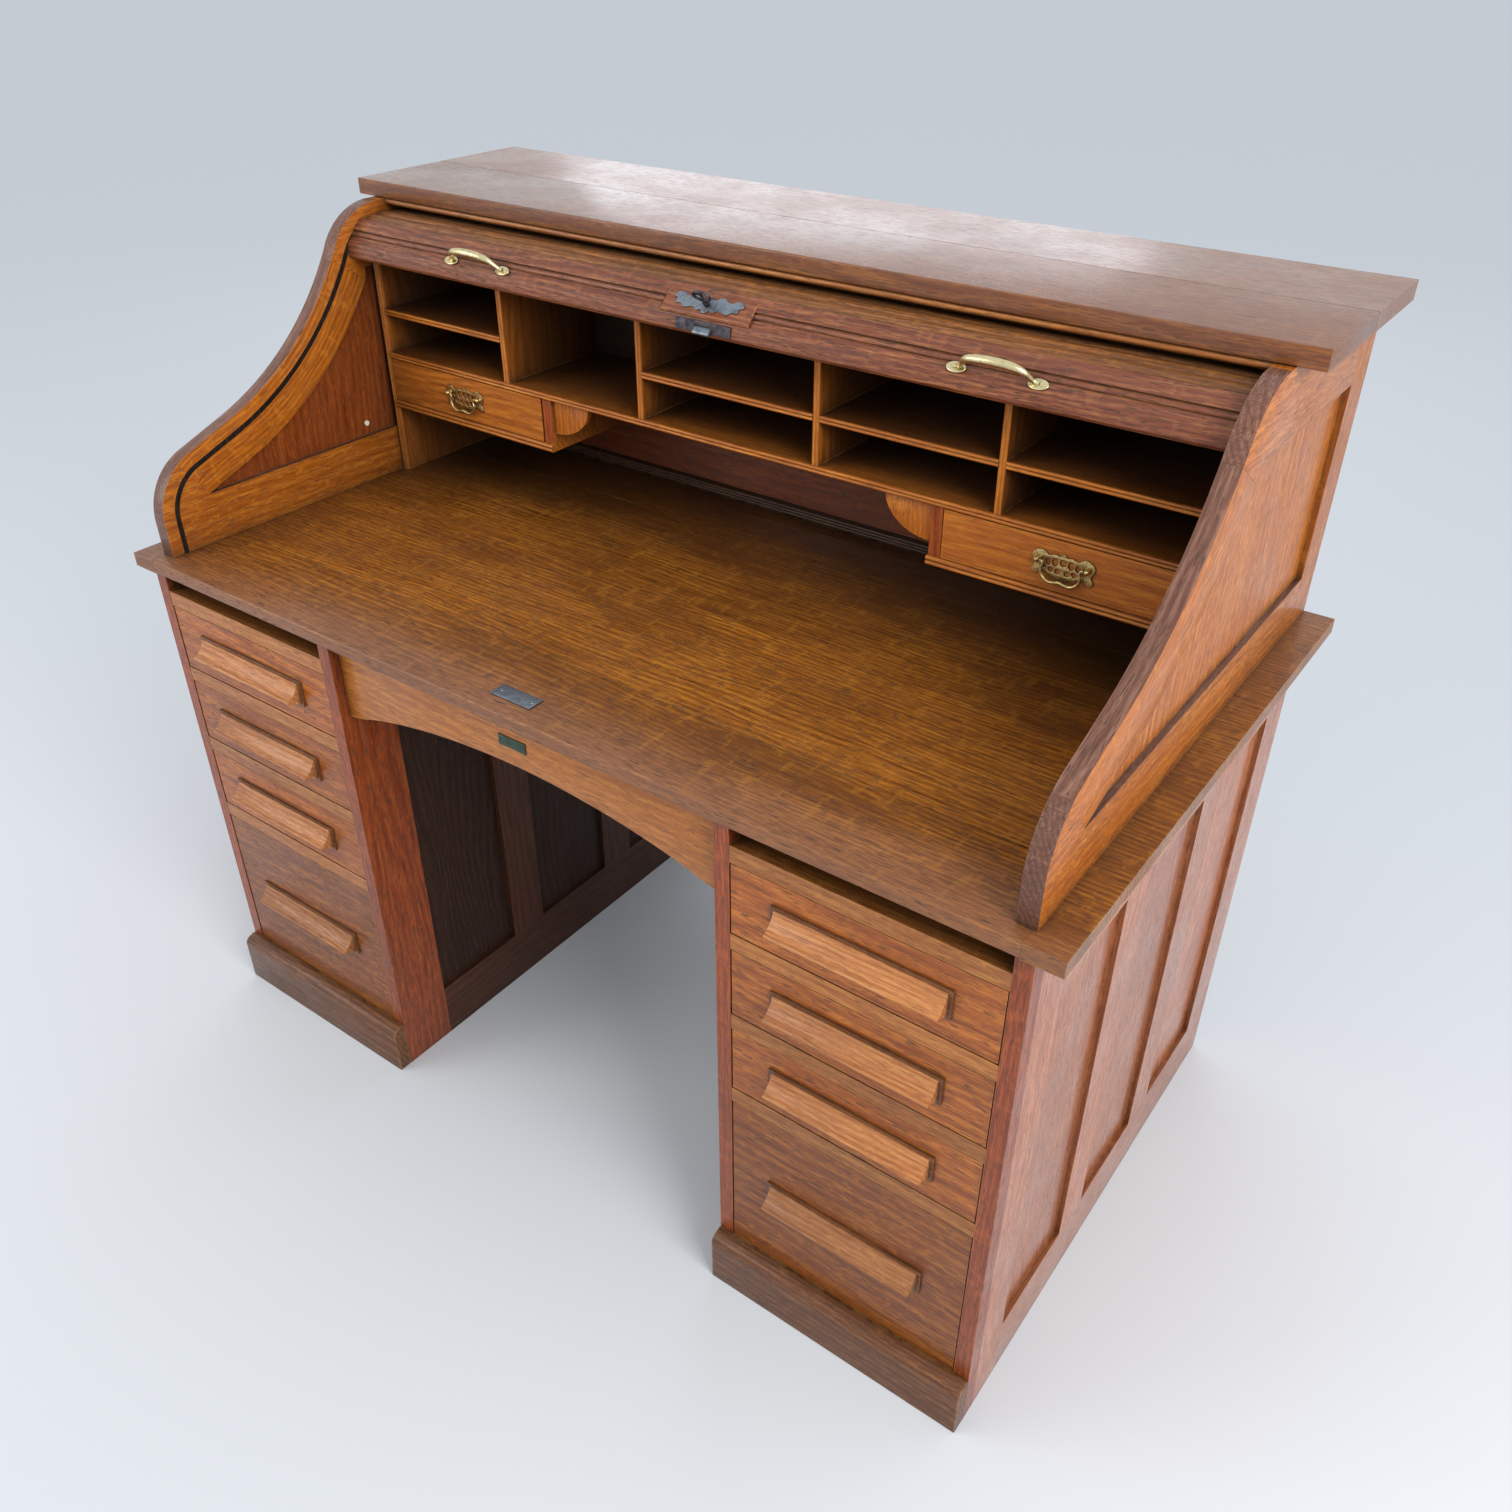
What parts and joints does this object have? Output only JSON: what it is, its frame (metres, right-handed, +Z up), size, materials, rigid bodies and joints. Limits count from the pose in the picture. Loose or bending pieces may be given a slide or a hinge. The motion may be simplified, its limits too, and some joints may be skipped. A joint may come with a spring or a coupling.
{
  "type": "roll top desk",
  "caption": "Pedestal desk with drawers either side of a kneehole, an arched apron, pigeonholes and a slatted roll top between S-shaped gables, drawn open.",
  "frame": {"origin": "middle of the bounding box in X and Y, at the floor", "axes": "+X to the sitter's right, +Y to the back, +Z up"},
  "size_m": [1.396, 0.799, 1.177],
  "materials": {
    "top_oak": "glossy brown varnish",
    "desk_oak": "worn varnish",
    "gable_oak": "varnished",
    "plum_oak": "varnished, red brown",
    "slat_oak": "varnished",
    "pale_oak": "varnished",
    "frame_oak": "varnished",
    "drawer_oak": "varnished",
    "pull_oak": "varnished",
    "dark_oak": "dull stain",
    "brass": "polished, tarnished",
    "iron": "dull dark iron",
    "steel": "worn",
    "badge_paint": "dark green, plain"
  },
  "bodies": {
    "carcass": {"desktop": "desk_oak", "top_board": "top_oak", "gable_left": "gable_oak", "gable_right": "gable_oak", "upper_back": "dark_oak", "inner_back": "frame_oak", "outer_side_left": "frame_oak", "outer_side_right": "frame_oak", "inner_side_left": "frame_oak", "inner_side_right": "frame_oak", "face_frame_left": "frame_oak", "face_frame_right": "frame_oak", "plinth_left": "dark_oak", "plinth_right": "dark_oak", "pedestal_back_left": "dark_oak", "pedestal_back_right": "dark_oak", "apron": "frame_oak", "pigeonhole_case": "pale_oak", "pigeonhole_nests": "pale_oak", "pigeonhole_grid": "pale_oak", "strike_plate": "iron", "badge_plate": "badge_paint"},
    "lock_rail": {"lock_rail": "plum_oak", "escutcheon": "steel", "lock_plate": "iron", "handle_left": "brass", "handle_right": "brass"},
    "key": {"key": "iron"},
    "lock_bolt": {"lock_bolt": "steel"},
    "slat_1": {"slat_1": "slat_oak"},
    "slat_2": {"slat_2": "slat_oak"},
    "slat_3": {"slat_3": "slat_oak"},
    "slat_4": {"slat_4": "slat_oak"},
    "slat_5": {"slat_5": "slat_oak"},
    "slat_run_a": {"slat_run_a": "slat_oak"},
    "slat_run_b": {"slat_run_b": "slat_oak"},
    "slat_run_c": {"slat_run_c": "slat_oak"},
    "slat_run_d": {"slat_run_d": "slat_oak"},
    "drawer_left_1": {"drawer_left_1": "drawer_oak", "pull_left_1": "pull_oak"},
    "drawer_left_2": {"drawer_left_2": "drawer_oak", "pull_left_2": "pull_oak"},
    "drawer_left_3": {"drawer_left_3": "drawer_oak", "pull_left_3": "pull_oak"},
    "drawer_left_4": {"drawer_left_4": "drawer_oak", "pull_left_4": "pull_oak"},
    "drawer_right_1": {"drawer_right_1": "drawer_oak", "pull_right_1": "pull_oak"},
    "drawer_right_2": {"drawer_right_2": "drawer_oak", "pull_right_2": "pull_oak"},
    "drawer_right_3": {"drawer_right_3": "drawer_oak", "pull_right_3": "pull_oak"},
    "drawer_right_4": {"drawer_right_4": "drawer_oak", "pull_right_4": "pull_oak"},
    "small_drawer_left": {"small_drawer_left": "pale_oak", "backplate_left": "brass"},
    "bail_left": {"bail_left": "brass"},
    "small_drawer_right": {"small_drawer_right": "pale_oak", "backplate_right": "brass"},
    "bail_right": {"bail_right": "brass"}
  },
  "joints": [
    {"name": "lock_rail_travel", "type": "hinge", "parent": "carcass", "child": "lock_rail", "pos_m": [0, 0.57638, 0.63836], "axis": [1, 0, 0], "range_deg": [0, 8.59]},
    {"name": "slat_1_follow", "type": "hinge", "parent": "carcass", "child": "slat_1", "pos_m": [0, 0.11487, 0.99631], "axis": [1, 0, 0], "range_deg": [-0.2, 42.13]},
    {"name": "slat_2_follow", "type": "hinge", "parent": "carcass", "child": "slat_2", "pos_m": [0, 0.08801, 1.02671], "axis": [1, 0, 0], "range_deg": [-0.2, 57.31]},
    {"name": "slat_3_follow", "type": "hinge", "parent": "carcass", "child": "slat_3", "pos_m": [0, 0.08543, 1.0314], "axis": [1, 0, 0], "range_deg": [-0.2, 60.16]},
    {"name": "slat_4_follow", "type": "hinge", "parent": "carcass", "child": "slat_4", "pos_m": [0, 0.096, 0.99473], "axis": [1, 0, 0], "range_deg": [-0.2, 44.44]},
    {"name": "slat_5_follow", "type": "hinge", "parent": "carcass", "child": "slat_5", "pos_m": [0, 0.1063, 0.92142], "axis": [1, 0, 0], "range_deg": [-0.2, 29.44]},
    {"name": "slat_run_a_follow", "type": "hinge", "parent": "carcass", "child": "slat_run_a", "pos_m": [0, 0.1075, 0.58503], "axis": [1, 0, 0], "range_deg": [-0.2, 11.66]},
    {"name": "slat_run_b_follow", "type": "hinge", "parent": "carcass", "child": "slat_run_b", "pos_m": [0, 0.1385, 0.894], "axis": [1, 0, 0], "range_deg": [-0.2, 26.46]},
    {"name": "slat_run_c_follow", "type": "hinge", "parent": "carcass", "child": "slat_run_c", "pos_m": [0, 0.1095, 0.888], "axis": [1, 0, 0], "range_deg": [-0.2, 23.59]},
    {"name": "slat_run_d_follow", "type": "hinge", "parent": "carcass", "child": "slat_run_d", "pos_m": [0, -0.87853, 0.8495], "axis": [1, 0, 0], "range_deg": [-0.2, 5.21]},
    {"name": "key_turn", "type": "hinge", "parent": "lock_rail", "child": "key", "pos_m": [0, 0.02121, 1.11595], "axis": [0, -0.651, 0.7591], "range_deg": [-1, 91]},
    {"name": "lock_bolt_slide", "type": "slide", "parent": "lock_rail", "child": "lock_bolt", "axis": [0, 0.7591, 0.651], "range_m": [0, 0.006]},
    {"name": "drawer_left_1_slide", "type": "slide", "parent": "carcass", "child": "drawer_left_1", "axis": [0, -1, 0], "range_m": [0, 0.45]},
    {"name": "drawer_left_2_slide", "type": "slide", "parent": "carcass", "child": "drawer_left_2", "axis": [0, -1, 0], "range_m": [0, 0.45]},
    {"name": "drawer_left_3_slide", "type": "slide", "parent": "carcass", "child": "drawer_left_3", "axis": [0, -1, 0], "range_m": [0, 0.45]},
    {"name": "drawer_left_4_slide", "type": "slide", "parent": "carcass", "child": "drawer_left_4", "axis": [0, -1, 0], "range_m": [0, 0.45]},
    {"name": "drawer_right_1_slide", "type": "slide", "parent": "carcass", "child": "drawer_right_1", "axis": [0, -1, 0], "range_m": [0, 0.45]},
    {"name": "drawer_right_2_slide", "type": "slide", "parent": "carcass", "child": "drawer_right_2", "axis": [0, -1, 0], "range_m": [0, 0.45]},
    {"name": "drawer_right_3_slide", "type": "slide", "parent": "carcass", "child": "drawer_right_3", "axis": [0, -1, 0], "range_m": [0, 0.45]},
    {"name": "drawer_right_4_slide", "type": "slide", "parent": "carcass", "child": "drawer_right_4", "axis": [0, -1, 0], "range_m": [0, 0.45]},
    {"name": "small_drawer_left_slide", "type": "slide", "parent": "carcass", "child": "small_drawer_left", "axis": [0, -1, 0], "range_m": [0, 0.12]},
    {"name": "bail_left_swing", "type": "hinge", "parent": "small_drawer_left", "child": "bail_left", "pos_m": [-0.47125, 0.0376, 0.91135], "axis": [-1, 0, 0], "range_deg": [0, 75]},
    {"name": "small_drawer_right_slide", "type": "slide", "parent": "carcass", "child": "small_drawer_right", "axis": [0, -1, 0], "range_m": [0, 0.12]},
    {"name": "bail_right_swing", "type": "hinge", "parent": "small_drawer_right", "child": "bail_right", "pos_m": [0.47125, 0.0376, 0.91135], "axis": [-1, 0, 0], "range_deg": [0, 75]}
  ],
  "couplings": [
    {"joint": "slat_1_follow", "follows": "lock_rail_travel", "ratio": 4.8809},
    {"joint": "slat_2_follow", "follows": "lock_rail_travel", "ratio": 6.6481},
    {"joint": "slat_3_follow", "follows": "lock_rail_travel", "ratio": 6.98},
    {"joint": "slat_4_follow", "follows": "lock_rail_travel", "ratio": 5.1497},
    {"joint": "slat_5_follow", "follows": "lock_rail_travel", "ratio": 3.4036},
    {"joint": "slat_run_a_follow", "follows": "lock_rail_travel", "ratio": 1.3339},
    {"joint": "slat_run_b_follow", "follows": "lock_rail_travel", "ratio": 3.0568},
    {"joint": "slat_run_c_follow", "follows": "lock_rail_travel", "ratio": 2.7231},
    {"joint": "slat_run_d_follow", "follows": "lock_rail_travel", "ratio": 0.58332},
    {"joint": "key_turn", "follows": "lock_bolt_slide", "rad_per_m": 261.8}
  ]
}
